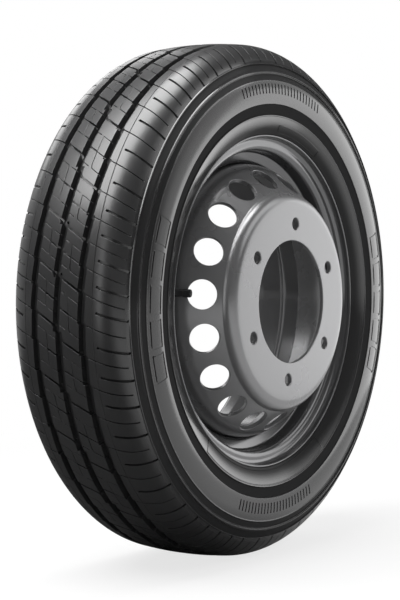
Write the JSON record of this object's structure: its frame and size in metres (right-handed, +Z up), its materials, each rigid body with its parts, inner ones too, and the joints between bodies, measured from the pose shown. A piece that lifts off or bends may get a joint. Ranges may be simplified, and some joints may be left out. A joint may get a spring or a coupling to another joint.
{
  "type": "van wheel with tyre",
  "caption": "Steel van wheel with a mounted tubeless radial tyre: ribbed tread with slanted cuts, drop-centre rim, deep vented disc with hub bore and bolt holes, snap-in valve.",
  "frame": {"origin": "on the wheel's axis, in the plane of the disc face that seats on the hub", "axes": "+Y along the axis towards the vehicle, so the wheel's outer face looks along -Y; +Z up, +X to the right seen from the outer face"},
  "size_m": [0.6836, 0.2172, 0.6836],
  "materials": {
    "tyre_rubber": "satin",
    "rim_paint": "satin",
    "disc_paint": "satin",
    "valve_rubber": "matte",
    "valve_brass": "satin",
    "cap_plastic": "matte"
  },
  "bodies": {
    "wheel": {"tyre": "tyre_rubber", "rim": "rim_paint", "wheel_disc": "disc_paint", "weld_beads": "disc_paint", "valve_stem": "valve_rubber", "valve_tube": "valve_brass", "valve_core": "valve_brass"},
    "cap": {"valve_cap": "cap_plastic", "cap_seal": "valve_rubber"},
    "pin": {"valve_pin": "valve_brass"}
  },
  "joints": [
    {"name": "valve_cap_off", "type": "slide", "parent": "wheel", "child": "cap", "axis": [0.4257, -0.9041, -0.0372], "range_m": [0, 0.014]},
    {"name": "valve_pin_press", "type": "slide", "parent": "wheel", "child": "pin", "axis": [0.4257, -0.9041, -0.0372], "range_m": [-0.0012, 0], "stiffness_N_per_m": 1500}
  ]
}
